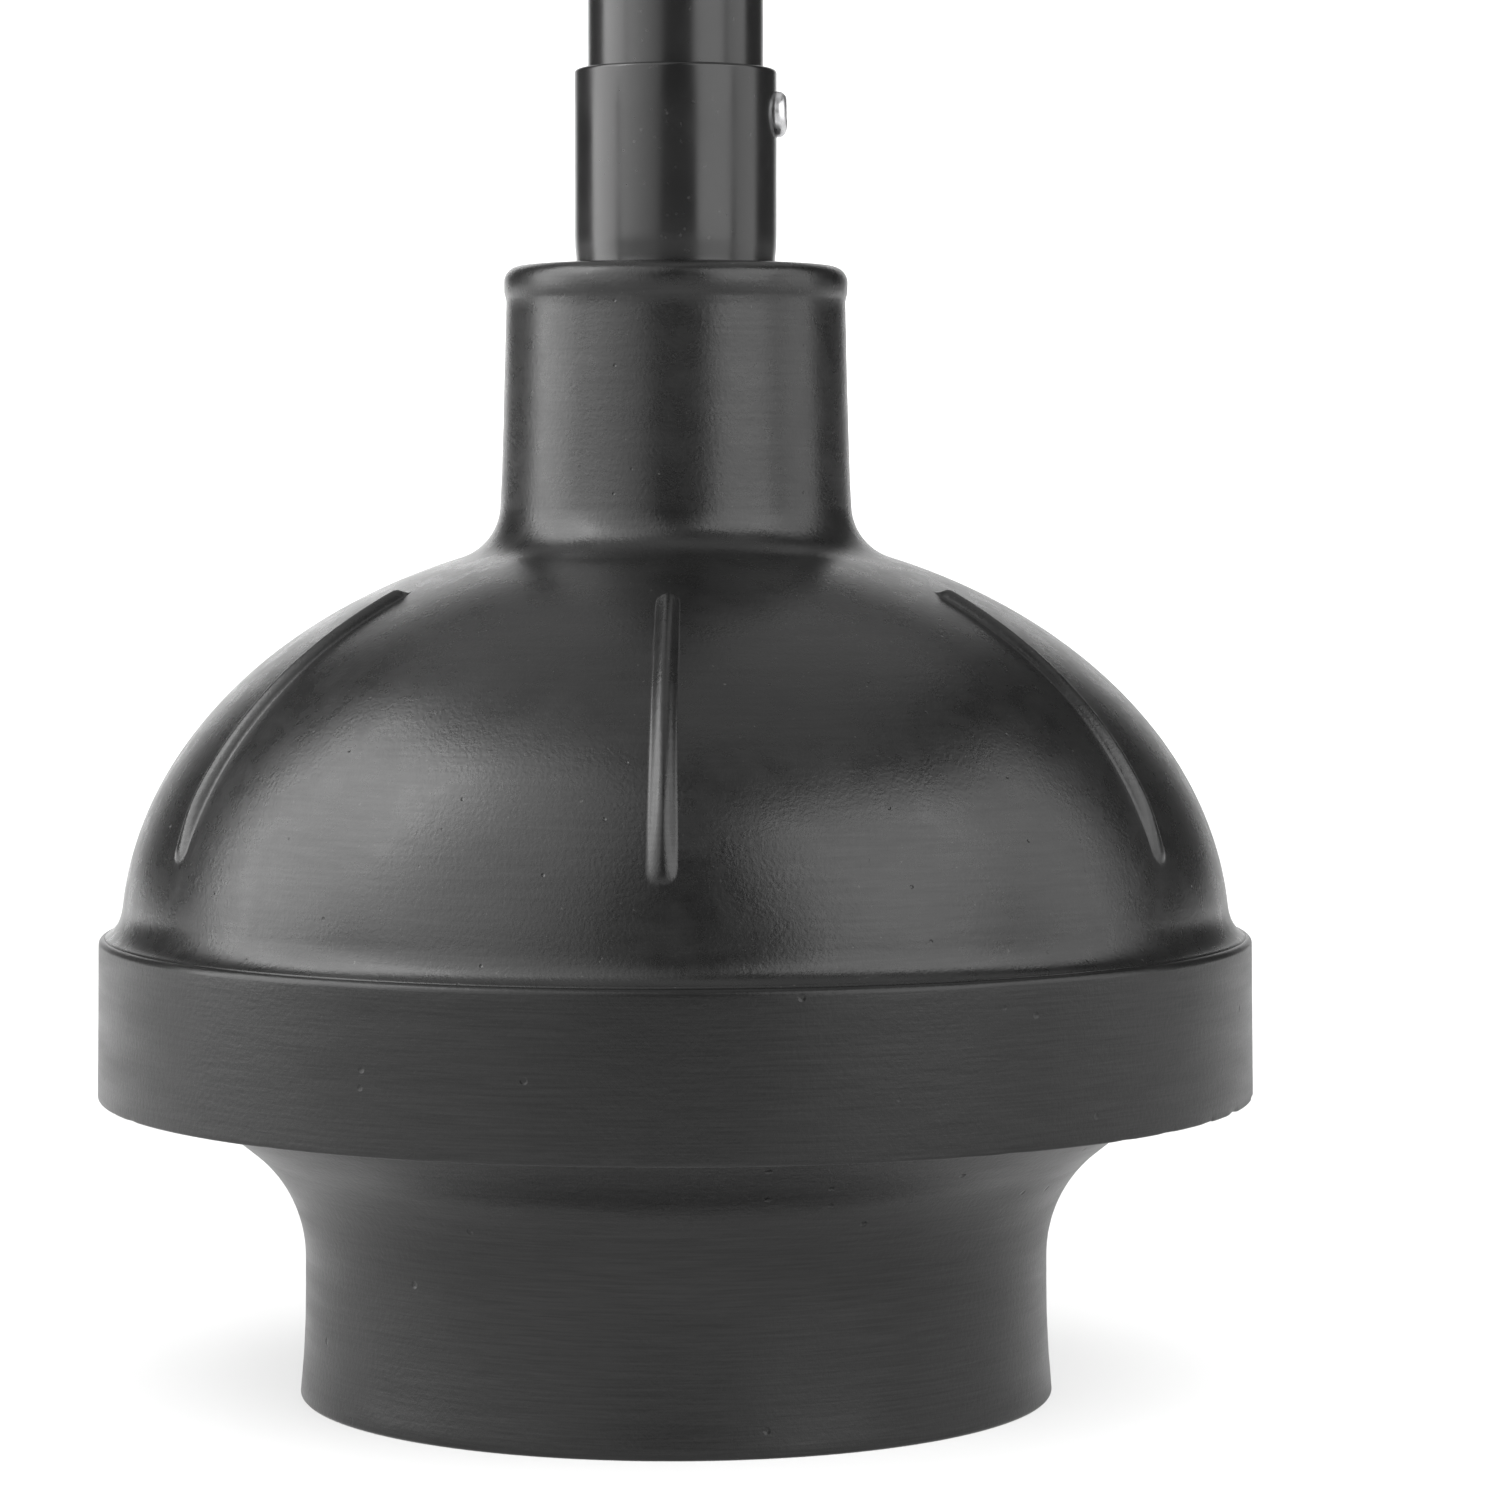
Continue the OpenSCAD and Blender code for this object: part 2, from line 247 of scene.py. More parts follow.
def feed(tree, value, socket):
    """Links a socket to the given one, or sets a number or a colour on it."""
    if isinstance(value, bpy.types.NodeSocket):
        tree.links.new(value, socket)
    elif isinstance(value, tuple):
        socket.default_value = (*value, 1)
    else:
        socket.default_value = value


def new_material(name, color, roughness, metallic=0.0, specular=0.5):
    """A material with these constants on its shader; gives back the material, its tree and the shader."""
    mat = bpy.data.materials.new(name)
    mat.use_nodes = True
    tree = mat.node_tree
    shader = tree.nodes["Principled BSDF"]
    shader.inputs["Base Color"].default_value = (*color, 1)
    shader.inputs["Roughness"].default_value = roughness
    shader.inputs["Metallic"].default_value = metallic
    shader.inputs["Specular IOR Level"].default_value = specular
    return mat, tree, shader


def coords(tree, scale=(1, 1, 1)):
    """Object coordinates in metres, multiplied by scale."""
    source = add(tree, "ShaderNodeTexCoord")
    mapping = add(tree, "ShaderNodeMapping")
    mapping.inputs["Scale"].default_value = scale
    tree.links.new(source.outputs["Object"], mapping.inputs["Vector"])
    return mapping.outputs["Vector"]


def noise(tree, scale, detail=4.0, roughness=0.6, stretch=(1, 1, 1)):
    """Noise with about scale spots to the metre, times stretch along each axis."""
    tex = add(tree, "ShaderNodeTexNoise", Scale=scale, Detail=detail, Roughness=roughness)
    tree.links.new(coords(tree, stretch), tex.inputs["Vector"])
    return tex.outputs["Fac"]


def ramp(tree, value, low, high, out_low=0.0, out_high=1.0):
    """Runs from out_low at low, or below it, to out_high at high, or above it."""
    node = add(tree, "ShaderNodeMapRange")
    node.inputs["From Min"].default_value = low
    node.inputs["From Max"].default_value = high
    node.inputs["To Min"].default_value = out_low
    node.inputs["To Max"].default_value = out_high
    tree.links.new(value, node.inputs["Value"])
    return node.outputs["Result"]


def math_node(tree, operation, result, *others):
    """Joins the values, one after another, with the operation."""
    for value in others:
        node = add(tree, "ShaderNodeMath", operation=operation)
        feed(tree, result, node.inputs[0])
        feed(tree, value, node.inputs[1])
        result = node.outputs[0]
    return result


def mix_color(tree, factor, a, b):
    """Colour a where the factor is 0, and b where it is 1."""
    node = add(tree, "ShaderNodeMix", data_type="RGBA")
    for value, number in ((factor, 0), (a, 6), (b, 7)):
        feed(tree, value, node.inputs[number])
    return node.outputs[2]


def bump(tree, shader, layers):
    """Stacks (height socket, distance in metres, strength) bumps on the shader."""
    previous = None
    for height, distance, strength in layers:
        node = add(tree, "ShaderNodeBump", Strength=strength, Distance=distance)
        tree.links.new(height, node.inputs["Height"])
        if previous is not None:
            tree.links.new(previous, node.inputs["Normal"])
        previous = node.outputs["Normal"]
    tree.links.new(previous, shader.inputs["Normal"])


def pits(tree, scale, size):
    """Sparse round pits: 1 on the surface, falling to 0 in a pit. One cell in six or so has a pit."""
    tex = add(tree, "ShaderNodeTexVoronoi", Scale=scale)
    tree.links.new(coords(tree), tex.inputs["Vector"])
    hollow = ramp(tree, tex.outputs["Distance"], size * 0.4, size)
    chance = add(tree, "ShaderNodeSeparateColor")
    tree.links.new(tex.outputs["Color"], chance.inputs[0])
    rare = ramp(tree, chance.outputs[0], 0.80, 0.84, 1.0, 0.0)
    return math_node(tree, "MAXIMUM", hollow, rare)


def rubber_smooth():
    """The satin skin of the dome and neck: fine grain, small pits and a few pale specks of dust."""
    mat, tree, shader = new_material("rubber_smooth", (0.008, 0.008, 0.008), 0.32, specular=0.5)
    grain = noise(tree, 1900, 3, 0.65)
    streaks = noise(tree, 1, 4, 0.6, stretch=(130, 130, 2600))
    specks = pits(tree, 430, 0.11)
    cloud = mix_color(tree, ramp(tree, noise(tree, 60, 3), 0.35, 0.7),
                      (0.006, 0.006, 0.006), (0.010, 0.010, 0.0098))
    dust = ramp(tree, noise(tree, 1500, 2), 0.72, 0.78)
    tree.links.new(mix_color(tree, dust, cloud, (0.05, 0.05, 0.048)), shader.inputs["Base Color"])
    rough = ramp(tree, noise(tree, 240, 5, 0.65), 0.3, 0.75, 0.24, 0.34)
    tree.links.new(rough, shader.inputs["Roughness"])
    tree.links.new(ramp(tree, streaks, 0.3, 0.7, 0.46, 0.54), shader.inputs["Specular IOR Level"])
    bump(tree, shader, [(grain, 0.00006, 0.6), (specks, 0.00010, 0.6)])
    return mat


def rubber_turned():
    """The band and flange: fine streaks run round them."""
    mat, tree, shader = new_material("rubber_turned", (0.005, 0.005, 0.005), 0.33, specular=0.36)
    streaks = noise(tree, 1, 5, 0.7, stretch=(110, 110, 3400))
    cloud = noise(tree, 1, 4, 0.6, stretch=(30, 30, 260))
    tone = mix_color(tree, ramp(tree, streaks, 0.3, 0.7),
                     (0.004, 0.004, 0.004), (0.007, 0.007, 0.0069))
    tree.links.new(tone, shader.inputs["Base Color"])
    tree.links.new(ramp(tree, cloud, 0.3, 0.7, 0.28, 0.38), shader.inputs["Roughness"])
    tree.links.new(ramp(tree, streaks, 0.35, 0.65, 0.35, 0.43), shader.inputs["Specular IOR Level"])
    bump(tree, shader, [(streaks, 0.00003, 0.45), (noise(tree, 1600, 3, 0.6), 0.00006, 0.6),
                        (pits(tree, 260, 0.13), 0.00014, 0.7)])
    return mat


def gloss_paint():
    """Black gloss paint on steel, with slight orange peel and a few specks of dust."""
    mat, tree, shader = new_material("gloss_paint", (0.008, 0.008, 0.008), 0.22, specular=0.52)
    peel = noise(tree, 420, 2, 0.4, stretch=(1, 1, 0.35))
    rough = ramp(tree, noise(tree, 90, 4), 0.3, 0.7, 0.19, 0.27)
    tree.links.new(rough, shader.inputs["Roughness"])
    dust = ramp(tree, noise(tree, 900, 2), 0.68, 0.74)
    tree.links.new(mix_color(tree, dust, (0.008, 0.008, 0.008), (0.03, 0.03, 0.03)),
                   shader.inputs["Base Color"])
    bump(tree, shader, [(peel, 0.00003, 0.25)])
    return mat


def bare_metal(name, color, roughness):
    """Unpainted metal, scuffed and in patches a little darker."""
    mat, tree, shader = new_material(name, color, roughness, metallic=1.0)
    scuff = noise(tree, 2500, 4, 0.7)
    rough = ramp(tree, scuff, 0.3, 0.7, roughness - 0.06, roughness + 0.12)
    tree.links.new(rough, shader.inputs["Roughness"])
    dark = tuple(c * 0.75 for c in color)
    tree.links.new(mix_color(tree, ramp(tree, noise(tree, 1100, 3), 0.4, 0.65), dark, color),
                   shader.inputs["Base Color"])
    bump(tree, shader, [(scuff, 0.00002, 0.4)])
    return mat


def moulded_plastic():
    """The black plastic of the hanging cap and the bung."""
    mat, tree, shader = new_material("moulded_plastic", (0.02, 0.02, 0.021), 0.45, specular=0.5)
    spark = noise(tree, 2200, 2, 0.5)
    rough = ramp(tree, noise(tree, 300, 4), 0.3, 0.7, 0.40, 0.52)
    tree.links.new(rough, shader.inputs["Roughness"])
    tree.links.new(mix_color(tree, ramp(tree, noise(tree, 70, 3), 0.35, 0.65), (0.017, 0.017, 0.018),
                             (0.025, 0.025, 0.026)), shader.inputs["Base Color"])
    bump(tree, shader, [(spark, 0.00005, 0.5)])
    return mat


def grip_rubber():
    """The grip's matt rubber."""
    mat, tree, shader = new_material("grip_rubber", (0.02, 0.02, 0.02), 0.62, specular=0.4)
    grain = noise(tree, 1300, 4, 0.75)
    rough = ramp(tree, noise(tree, 200, 4), 0.3, 0.7, 0.56, 0.70)
    tree.links.new(rough, shader.inputs["Roughness"])
    tree.links.new(mix_color(tree, ramp(tree, grain, 0.35, 0.7), (0.016, 0.016, 0.016),
                             (0.027, 0.027, 0.027)), shader.inputs["Base Color"])
    bump(tree, shader, [(grain, 0.00009, 0.6)])
    return mat


def paint_all(obj, *mats):
    """Gives the object these materials and no others."""
    obj.data.materials.clear()
    for mat in mats:
        obj.data.materials.append(mat)


RUBBER_SMOOTH = rubber_smooth()
RUBBER_TURNED = rubber_turned()
GLOSS_PAINT = gloss_paint()
RIVET_METAL = bare_metal("rivet_aluminium", (0.74, 0.74, 0.75), 0.30)
MANDREL_METAL = bare_metal("mandrel_steel", (0.42, 0.42, 0.43), 0.38)
PLASTIC = moulded_plastic()
GRIP_RUBBER = grip_rubber()


# ---------------------------------------------------------------- the rubber cup: neck, dome, ribs and rim
def dome_z(r, a, b):
    """The height at radius r of the dome's ellipse with half axes a and b."""
    return DOME_C + b * math.sqrt(1 - (r / a) ** 2)


def rib_directions():
    """The ribs' angles; the first is at the front."""
    return [-math.pi / 2 - RIB_TURN + i * 2 * math.pi / RIB_COUNT for i in range(RIB_COUNT)]


def cup_angles():
    """Angles round the cup, close together across each rib."""
    fine = np.linspace(-RIB_SIDE, RIB_SIDE, 65)
    coarse = np.linspace(RIB_SIDE, 2 * math.pi / RIB_COUNT - RIB_SIDE, 84)[1:-1]
    one = np.concatenate([fine, coarse])
    return np.concatenate([d + one for d in rib_directions()])


def rib_end_r():
    """The radius at which a rib's upper end lies."""
    return DOME_A * math.sqrt(1 - ((RIB_HIGH_Z - DOME_C) / DOME_B) ** 2)


def rib_height(theta, r, z):
    """How far the ribs stand off the dome: round ridges with round ends, lower at the foot."""
    foot_share, foot_h = 0.4, 8 * MM
    reach = 0.3                          # radians to either side of a rib's direction
    total = np.zeros_like(theta)
    share = np.clip((z - RIB_LOW_Z) / (RIB_HIGH_Z - RIB_LOW_Z), 0, 1)
    half_w = 0.5 * (RIB_W_LOW + (RIB_W_HIGH - RIB_W_LOW) * share)
    out = (r / DOME_A) ** 2
    slope = np.sqrt(1 + (DOME_B / DOME_A) ** 2 * out / np.maximum(1 - out, 0.02))
    for direction in rib_directions():
        turn = turned(theta, direction)
        across = r * np.sin(turn)
        over = np.maximum(rib_end_r() + half_w - r, 0) * slope
        under = np.maximum(RIB_LOW_Z + half_w - z, 0)
        apart = np.sqrt(across ** 2 + over ** 2 + under ** 2)
        ridge = np.clip(1 - (apart / half_w) ** 2, 0, 1)
        fade = smooth((z - RIB_LOW_Z) / foot_h) * (1 - foot_share) + foot_share
        total += np.where(np.abs(turn) < reach, ridge * fade * RIB_H, 0)
    return total


def cup_inside():
    """The cup's section from the axis, under the thrust boss and down the inside, to the flange's joint."""
    inner_a, inner_b = DOME_A - DOME_WALL, DOME_B - DOME_WALL
    lap = 0.4 * MM                       # the cup's foot reaches in past the joint
    boss = [(0, BOSS_Z), (BOSS_R, BOSS_Z), (BOSS_R + 2.5 * MM, BOSS_Z + 0.5 * MM),
            (BOSS_R + 4.5 * MM, BOSS_Z + 1.5 * MM),
            (BOSS_FOOT_R, dome_z(BOSS_FOOT_R, inner_a, inner_b) - 0.1 * MM)]
    dome = arc(0, DOME_C, inner_a, inner_b, math.degrees(math.acos(BOSS_CLEAR_R / inner_a)), 0, 40)
    wall = [(RIM_INNER_R, RIM_ARRIS - 3 * MM)]
    corner = arc(RIM_INNER_R - RIM_CORNER_R, SHELF_TOP + 4 * MM, RIM_CORNER_R, RIM_CORNER_R, 0, -50, 6)
    crease = [(FLANGE_JOINT_R - lap, SHELF_TOP - 0.2 * MM), (FLANGE_JOINT_R - lap, RIM_BOTTOM)]
    return refine(boss + dome + wall + corner + crease, 3 * MM)


def cup_band():
    """The band's section from its lower edge, over its arris and the seam there, to the dome's ellipse."""
    edge_r, arris_r = RIM_R - RIM_EDGE_R, RIM_R - RIM_DRAFT - RIM_ARRIS_R
    edge = arc(edge_r, RIM_BOTTOM + RIM_EDGE_R, RIM_EDGE_R, RIM_EDGE_R, -90, 0, 6)
    chipped = [(RIM_R, RIM_BOTTOM + rise) for rise in (0.5 * MM, 0.8 * MM, CHIP_H)]
    arris = arc(arris_r, RIM_ARRIS - RIM_ARRIS_R, RIM_ARRIS_R, RIM_ARRIS_R, 0, 72, 8)
    end_r, end_z = arris[-1]
    seam = [(end_r - 0.05 * MM, end_z - 0.12 * MM), (end_r - 0.16 * MM, end_z - 0.10 * MM)]
    start = (end_r - 0.20 * MM, end_z + 0.05 * MM)
    corner = (DOME_A + 0.1 * MM, RIM_ARRIS + 1 * MM)
    root = (DOME_A * math.sqrt(1 - (DOME_ROOT / DOME_B) ** 2), DOME_C + DOME_ROOT)
    hollow = [bent(start, corner, root, t) for t in np.linspace(0, 1, 15)]
    return refine(edge + chipped + arris, 1.5 * MM) + seam + hollow


def cup_upper():
    """The outside from the dome's root, over the fillet and up the neck, to the top of its lip."""
    touch_r = NECK_FOOT_R + NECK_FILLET_R * (1 - math.sin(DOME_SLOPE))
    dome = arc(0, DOME_C, DOME_A, DOME_B, math.degrees(math.asin(DOME_ROOT / DOME_B)),
               math.degrees(math.acos(touch_r / DOME_A)), 140)
    fillet_z = dome_z(touch_r, DOME_A, DOME_B) + NECK_FILLET_R * math.cos(DOME_SLOPE)
    fillet = arc(NECK_FOOT_R + NECK_FILLET_R, fillet_z, NECK_FILLET_R, NECK_FILLET_R,
                 270 - math.degrees(DOME_SLOPE), 180, 16)
    bead_z = NECK_TOP - NECK_BEAD_H
    wall = [(NECK_FOOT_R + (NECK_TOP_R - NECK_FOOT_R) * t ** 0.75, fillet_z + (bead_z - fillet_z) * t)
            for t in np.linspace(0.04, 1, 18)]
    bead = [(NECK_TOP_R + 0.10 * MM, bead_z + 0.5 * MM), (NECK_BEAD_R - 0.04 * MM, bead_z + 1.1 * MM)]
    lip = arc(NECK_BEAD_R - NECK_LIP_R, NECK_TOP - NECK_LIP_R, NECK_LIP_R, NECK_LIP_R, 0, 90, 9)
    return dome[1:] + fillet[1:] + refine(wall + bead + lip, 2 * MM)


def cup_mouth(top):
    """The section from the lip's top point, into the neck's socket and down to the axis."""
    bore = SWAGE_R + FIT_GAP
    mouth = [(SWAGE_R + 1.0 * MM, NECK_TOP), (SWAGE_R + 0.3 * MM, NECK_TOP - 0.25 * MM),
             (bore, NECK_TOP - 0.8 * MM)]
    return refine([top] + mouth + [(bore, SOCKET_Z), (0, SOCKET_Z)], 3 * MM)[1:]


def worn_edge(theta, z):
    """Shallow chips in the band's lower edge, closest together and deepest at the front view's right."""
    rng = np.random.default_rng(5)
    total = np.zeros_like(theta)
    for low, high, deepest, count in CHIPS:
        for _ in range(count):
            place, half = rng.uniform(low, high), rng.uniform(0.010, 0.035)
            depth = rng.uniform(0.3, 1) * deepest
            total = np.maximum(total, depth * smooth(1 - np.abs(turned(theta, place)) / half))
    return total * smooth(1 - (z - RIM_BOTTOM) / CHIP_H)


def cup_offset(theta, r, z):
    """Ribs, chips in the lower edge, and a slight waviness of the moulding, calm at both ends."""
    calm = smooth((z - RIM_BOTTOM) / (6 * MM)) * smooth((NECK_TOP - z) / (3 * MM))
    ribs = np.where(z > DOME_C + 6 * MM, rib_height(theta, r, z), 0)
    return ribs + waves(theta, z, 0.018 * MM, 3) * calm - worn_edge(theta, z)


cup_hidden, cup_shown = cup_inside(), cup_band() + cup_upper()
cup_skin = slice(len(cup_hidden), len(cup_hidden) + len(cup_shown))
cup = revolve("rubber_cup", cup_hidden + cup_shown + cup_mouth(cup_shown[-1]), cup_angles(), cup_offset,
              cup_skin)
paint_all(cup, RUBBER_SMOOTH, RUBBER_TURNED)
centres = np.array([p.center for p in cup.data.polygons])
radius = np.hypot(centres[:, 0], centres[:, 1])
on_band = (centres[:, 2] < RIM_ARRIS) & (radius > FLANGE_JOINT_R)
cup.data.polygons.foreach_set("material_index", on_band.astype(np.int32))
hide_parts("cup_neck", "cup_dome", "cup_rim")
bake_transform(cup)


# ---------------------------------------------------------------- the flange
def flange_outline():
    """The flange's section in two runs: up its outer wall to the rim, and down inside to the foot."""
    centre_r = FLANGE_WAIST_R + FLARE_R
    inner_r = FLANGE_WAIST_R - FLANGE_WALL
    thick = FLARE_R + FLANGE_WALL
    edge, inner_edge = FLANGE_EDGE_R, FLANGE_INNER_EDGE_R
    foot_out = arc(FLANGE_R - edge, edge, edge, edge, -90, 0, 6)
    side = [(FLANGE_WAIST_R + 0.30 * MM, 5 * MM), (FLANGE_WAIST_R + 0.05 * MM, 10 * MM),
            (FLANGE_WAIST_R, 14 * MM)]
    flare_out = arc(centre_r, FLARE_Z, FLARE_R, FLARE_R, 180, 180 - FLARE_SLOPE, 20)
    joint = [(FLANGE_JOINT_R, RIM_BOTTOM), (FLANGE_JOINT_R + 1 * MM, RIM_BOTTOM + 0.8 * MM),
             (FLANGE_JOINT_R + 1 * MM, SHELF_TOP - 0.8 * MM), (FLANGE_JOINT_R, SHELF_TOP)]
    flare_in = arc(centre_r, FLARE_Z, thick, thick, 180 - FLARE_SLOPE, 180, 20)
    wall = [(inner_r, FLARE_Z - 1 * MM), (inner_r, 1.0 * MM)]
    foot_in = arc(inner_r + inner_edge, inner_edge, inner_edge, inner_edge, 180, 270, 5)
    return (refine(foot_out + side + flare_out + joint[:1], 1.5 * MM),
            refine(joint[1:] + flare_in + wall + foot_in, 2 * MM))


def flange_offset(theta, r, z):
    """A slight waviness of the moulding, calm at the foot and at the rim."""
    return waves(theta, z, 0.03 * MM, 8) * smooth(z / (4 * MM)) * smooth((RIM_BOTTOM - z) / (6 * MM))


flange_out, flange_in = flange_outline()
flange = revolve("rubber_flange", flange_out + flange_in, even_angles(256), flange_offset,
                 slice(0, len(flange_out)))
paint_all(flange, RUBBER_TURNED)
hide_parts("flange_skirt", "flange_lip")
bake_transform(flange)


# ---------------------------------------------------------------- ferrule and tube
def ferrule_outline():
    """The ferrule's section: up its skin, which widens just over the neck, and over its lip."""
    low, high = FERRULE_LOW.z, FERRULE_HIGH.z
    bore = TUBE_R + 0.05 * MM
    outer, inner = 0.5 * MM, 0.3 * MM    # roundings of the lip
    lip = arc(FERRULE_R - outer, high - outer, outer, outer, 0, 90, 6)
    mouth = arc(bore + inner, high - inner, inner, inner, 90, 180, 4)
    return [(bore, low), (SWAGE_R, low), (SWAGE_R, NECK_TOP), (SWAGE_R + 0.02 * MM, NECK_TOP + 1 * MM),
            (FERRULE_R - 0.05 * MM, NECK_TOP + 2.4 * MM), (FERRULE_R, NECK_TOP + 4 * MM)] + lip + mouth


ferrule = revolve("steel_ferrule", refine(ferrule_outline(), 6 * MM), even_angles(160))
paint_all(ferrule, GLOSS_PAINT)
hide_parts("ferrule")
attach(ferrule, "neck")

tube_outline = [(TUBE_R - TUBE_WALL, TUBE_LOW.z), (TUBE_R, TUBE_LOW.z), (TUBE_R, TUBE_HIGH.z),
                (TUBE_R - TUBE_WALL, TUBE_HIGH.z)]
tube = revolve("handle_tube_steel", refine(tube_outline, 20 * MM), even_angles(160))
paint_all(tube, GLOSS_PAINT)
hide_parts("handle_tube")
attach(tube, "neck")

paint_all(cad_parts["tube_bung"], PLASTIC)


# ---------------------------------------------------------------- the blind rivet
def at_rivet(obj):
    """Stands a piece that is drawn along +Z on the ferrule's skin, pointing out along the rivet's axis."""
    turn = Matrix.Rotation(-RIVET_TURN, 4, "Z") @ Matrix.Rotation(math.pi / 2, 4, "Y")
    out, up = Matrix.Translation((0, 0, FERRULE_R)), Matrix.Translation((0, 0, RIVET_Z))
    obj.data.transform(up @ turn @ out)


def in_mm(points):
    """The same points, given in millimetres."""
    return [(r * MM, z * MM) for r, z in points]


def rivet_section():
    """The rivet's section, in millimetres out from the ferrule's skin: the bulb inside the tube and the
    shank, then the domed head round the mandrel's hole."""
    hole_r, shank_r, head_r, tail_z, seat_z = 0.92, 1.6, 2.9, -5.7, -0.42
    bulb = [(hole_r, tail_z), (shank_r, tail_z), (2.3, -4.3), (2.35, -3.4), (2.2, -2.8), (shank_r, -2.7)]
    head_edge = [(shank_r, seat_z), (2.7, seat_z), (2.86, -0.25), (head_r, 0.0)]
    crown = arc(1.80, 0.20, 1.08, 1.06, 0, 95, 12)
    return bulb + head_edge + crown + [(1.45, 1.05), (1.2, 0.62), (hole_r, 0.45)]


def mandrel_section():
    """The mandrel's section, in the same millimetres: its head inside the tube and its stem, broken off in
    the rivet's hole."""
    stem_r = 0.88
    head = [(0, -7.2), (0.8, -7.1), (1.4, -6.6), (1.5, -5.75), (stem_r, -5.7)]
    return head + [(stem_r, 0.20), (0.8, 0.34), (0.35, 0.44), (0, 0.36)]


rivet = revolve("rivet", in_mm(rivet_section()), even_angles(72))
mandrel = revolve("mandrel_stub", in_mm(mandrel_section()), even_angles(48))
for piece, node, skin, slot in ((rivet, "rivet_body", RIVET_METAL, "rivet_aluminium"),
                                (mandrel, "rivet_mandrel", MANDREL_METAL, "rivet_steel")):
    at_rivet(piece)
    paint_all(piece, skin)
    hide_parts(node)
    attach(piece, "neck")


# ---------------------------------------------------------------- grip and hanging cap
def grip_outline():
    """The grip's section from the tube up over its foot, along its grooved side and over its top."""
    low, high, r = GRIP_LOW.z, GRIP_HIGH.z, GRIP_HIGH.x
    mid, half = (low + high) / 2, (high - low) / 2
    foot = arc(r - GRIP_END_R, low + GRIP_END_R, GRIP_END_W, GRIP_END_R, -90, -6, 8)
    top = arc(r - GRIP_END_R, high - GRIP_TOP_H, GRIP_END_W, GRIP_TOP_H, 6, 90, 8)
    last = GRIP_GROOVES // 2             # grooves to either side of the middle one
    side = []
    for z in np.arange(low + GRIP_END_R, high - GRIP_TOP_H, 0.6 * MM):
        off = (z - mid) / GRIP_PITCH
        near = abs(off - max(-last, min(last, round(off)))) * GRIP_PITCH
        groove = 0.5 * (1 + math.cos(math.pi * min(near / GRIP_GROOVE_HALF, 1)))
        side.append((r - GRIP_BELLY * ((z - mid) / half) ** 2 - GRIP_GROOVE_DEPTH * groove, z))
    return [(TUBE_R, low)] + foot + side + top + [(TUBE_R, high)]


grip = revolve("grip_sleeve", grip_outline(), even_angles(128))
paint_all(grip, GRIP_RUBBER)
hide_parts("grip")
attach(grip, "neck")


def softened(node, name, voxel):
    """A copy of a CAD piece, meshed again in voxels of that size and eased along its sharp edges."""
    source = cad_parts[node]
    obj = bpy.data.objects.new(name, source.data.copy())
    bpy.context.scene.collection.objects.link(obj)
    obj.matrix_world = source.matrix_world
    remesh = obj.modifiers.new("remesh", "REMESH")
    remesh.mode = "VOXEL"
    remesh.voxel_size = voxel
    remesh.use_smooth_shade = True
    ease = obj.modifiers.new("ease", "SMOOTH")
    ease.iterations = 5
    mesh = bpy.data.meshes.new_from_object(obj.evaluated_get(bpy.context.evaluated_depsgraph_get()))
    obj.modifiers.clear()
    obj.data = mesh
    return obj


cap = softened("hang_cap", "hanging_cap", CAP_VOXEL)
paint_all(cap, PLASTIC)
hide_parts("hang_cap")
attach(cap, "neck")


# ---------------------------------------------------------------- stage, light and camera
def stage_shades(tree, x, y, z):
    """How dark the part mirrors each place of the stage, from 0 to 1: the upper walls and those at the
    left, the right and the front, as black flags there would make them, and painted shade on the floor:
    darker towards the front, and a painted shadow just right of the part's foot."""
    above = ramp(tree, z, 2.2, 3.0)
    right = math_node(tree, "MULTIPLY", ramp(tree, x, 1.0, 1.7), ramp(tree, z, -0.5, 0.2))
    left = ramp(tree, x, -2.0, -1.2, 1.0, 0.0)
    front = ramp(tree, y, 0.0, 1.5, 1.0, 0.0)
    beside = math_node(tree, "MAXIMUM", left, front)
    beside = math_node(tree, "MULTIPLY", beside, ramp(tree, z, 0.0, 0.15))
    # Painted shadow: the floor just right of the part's foot is darker in what the part mirrors.
    painted_floor_shadow_right = ramp(tree, x, 0.0, 0.12, 0.0, 0.3)
    # Painted shade: the floor towards the front is darker in what the part mirrors.
    painted_floor_shade_front = ramp(tree, y, -0.7, -0.1, 0.7, 0.0)
    return math_node(tree, "MAXIMUM", above, beside, right, painted_floor_shadow_right, painted_floor_shade_front)


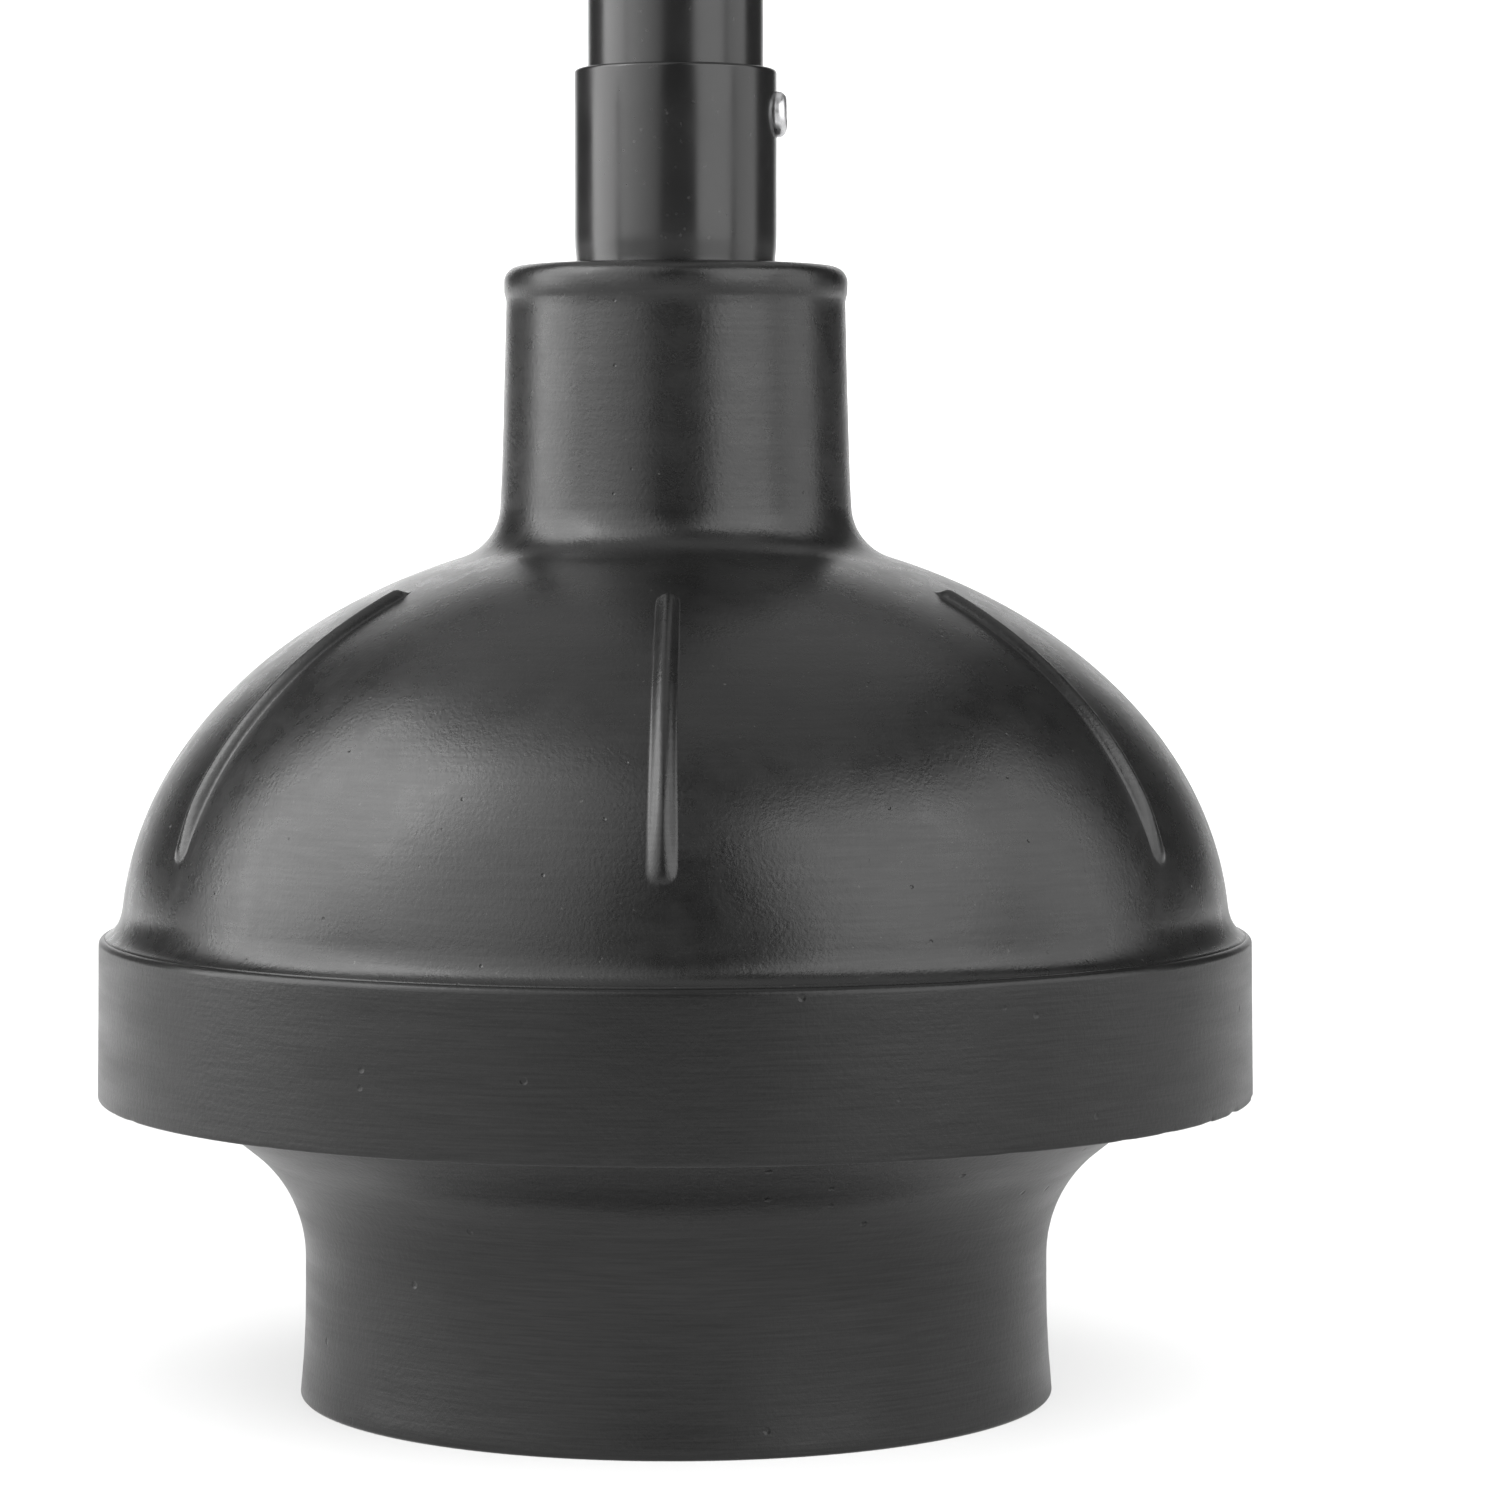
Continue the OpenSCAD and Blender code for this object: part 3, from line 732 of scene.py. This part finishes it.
def stage_bowl():
    """A wide white floor that curves up into a wall all round. The camera sees all of it white from above,
    and the floor is clear when it is seen from below."""
    radius, bend, height = 4.0, 1.2, 4.4
    floor_near, floor_far = 0.39, 0.85   # the floor's and the wall's tone, round the part and away from it
    darkest = 0.96
    outline = [(0, 0), (0.5, 0), (1.5, 0), (radius - bend, 0)]
    outline += arc(radius - bend, bend, bend, bend, -90, 0, 24)[1:] + [(radius, height)]
    obj = revolve("stage_bowl", outline, even_angles(128), closed=False)
    obj.data.flip_normals()
    mat, tree, shader = new_material("stage_white", (0.44, 0.44, 0.44), 0.9, specular=0.1)
    place = add(tree, "ShaderNodeSeparateXYZ")
    tree.links.new(coords(tree), place.inputs[0])
    x, y, z = place.outputs
    seen = add(tree, "ShaderNodeLightPath").outputs["Is Camera Ray"]
    dark = math_node(tree, "MULTIPLY", stage_shades(tree, x, y, z), darkest,
                     math_node(tree, "SUBTRACT", 1.0, seen))
    away = math_node(tree, "ADD", math_node(tree, "ABSOLUTE", x, 0), math_node(tree, "ABSOLUTE", y, 0))
    white = ramp(tree, away, 0.5, 2.0, floor_near, floor_far)
    tone = math_node(tree, "MULTIPLY", white, math_node(tree, "SUBTRACT", 1.0, dark))
    tree.links.new(tone, shader.inputs["Base Color"])
    under = add(tree, "ShaderNodeNewGeometry").outputs["Backfacing"]
    either = add(tree, "ShaderNodeMixShader")
    tree.links.new(math_node(tree, "MULTIPLY", under, seen), either.inputs[0])
    tree.links.new(shader.outputs["BSDF"], either.inputs[1])
    tree.links.new(add(tree, "ShaderNodeBsdfTransparent").outputs["BSDF"], either.inputs[2])
    tree.links.new(either.outputs[0], tree.nodes["Material Output"].inputs["Surface"])
    paint_all(obj, mat)
    return obj


def softbox(name, azimuth, elevation, distance, width, height, radiance, fade=1.0, target=(0, 0, 0.09)):
    """A rectangular light at that azimuth (right of the camera is positive) and elevation, aimed at the
    target. Across its width it runs from fade times the radiance, at one side, to the radiance."""
    a, e = math.radians(azimuth), math.radians(elevation)
    aim = Vector(target)
    place = aim + distance * Vector((math.sin(a) * math.cos(e), -math.cos(a) * math.cos(e), math.sin(e)))
    data = bpy.data.lights.new(name, "AREA")
    data.shape = "RECTANGLE"
    data.size = width
    data.size_y = height
    data.energy = radiance * math.pi * width * height
    if fade != 1.0:
        data.use_nodes = True
        tree = data.node_tree
        across = add(tree, "ShaderNodeSeparateXYZ")
        tree.links.new(add(tree, "ShaderNodeNewGeometry").outputs["Parametric"], across.inputs[0])
        tree.links.new(ramp(tree, across.outputs["X"], 0, 1, fade, 1.0),
                       tree.nodes["Emission"].inputs["Strength"])
    obj = bpy.data.objects.new(name, data)
    obj.location = place
    obj.rotation_euler = (aim - place).to_track_quat("-Z", "Y").to_euler()
    obj.visible_camera = False
    bpy.context.scene.collection.objects.link(obj)
    return obj


def world_light(strength):
    """An even, faint white from all round."""
    world = bpy.data.worlds.new("studio")
    bpy.context.scene.world = world
    world.use_nodes = True
    background = world.node_tree.nodes["Background"]
    background.inputs["Color"].default_value = (1, 1, 1, 1)
    background.inputs["Strength"].default_value = strength


def group(name, obj):
    """A collection for light linking, which holds that object and isn't in the scene."""
    collection = bpy.data.collections.new(name)
    collection.objects.link(obj)
    return collection


stage = stage_bowl()
stage_only = group("stage_only", stage)
all_but_stage = group("all_but_stage", stage)
all_but_stage.collection_objects[0].light_linking.link_state = "EXCLUDE"
world_light(0.02)
left_side = softbox("left_side", -88, 27, 1.0, 0.74, 1.1, 3.9, fade=1.3)
left_side.light_linking.receiver_collection = all_but_stage
nothing = group("nothing", left_side)    # were it empty, everything would block; a lamp blocks nothing
softbox("left_front", -41, 33, 1.0, 1.0, 1.25, 0.9, fade=4.2)
softbox("right_front", 46, 25, 1.0, 0.8, 1.0, 2.9)
softbox("right_side", 88, 22, 1.0, 0.6, 0.9, 1.9)
softbox("overhead", 180, 80, 1.0, 1.2, 1.2, 0.65)
# The washes light the stage alone and nothing shades them, so that it is white all round.
for wash in (softbox("stage_top", 0, 89, 4.5, 7.0, 7.0, 3.6),
             softbox("stage_back", 0, 20, 5.5, 6.0, 4.0, 7.0, target=(0, 1.0, 0.3))):
    wash.light_linking.receiver_collection = stage_only
    wash.light_linking.blocker_collection = nothing

LENS, SENSOR = 116.42, 36.0              # millimetres
CAMERA_PLACE = (9.33 * MM, -611.9 * MM, 113.6 * MM)
CAMERA_DIP = 3.03                        # degrees below level
camera_data = bpy.data.cameras.new("camera")
camera_data.lens = LENS
camera_data.sensor_width = SENSOR
camera = bpy.data.objects.new("camera", camera_data)
camera.location = CAMERA_PLACE
camera.rotation_euler = (math.radians(90 - CAMERA_DIP), 0, 0)
bpy.context.scene.collection.objects.link(camera)
bpy.context.scene.camera = camera
bpy.context.scene.view_settings.view_transform = "Standard"
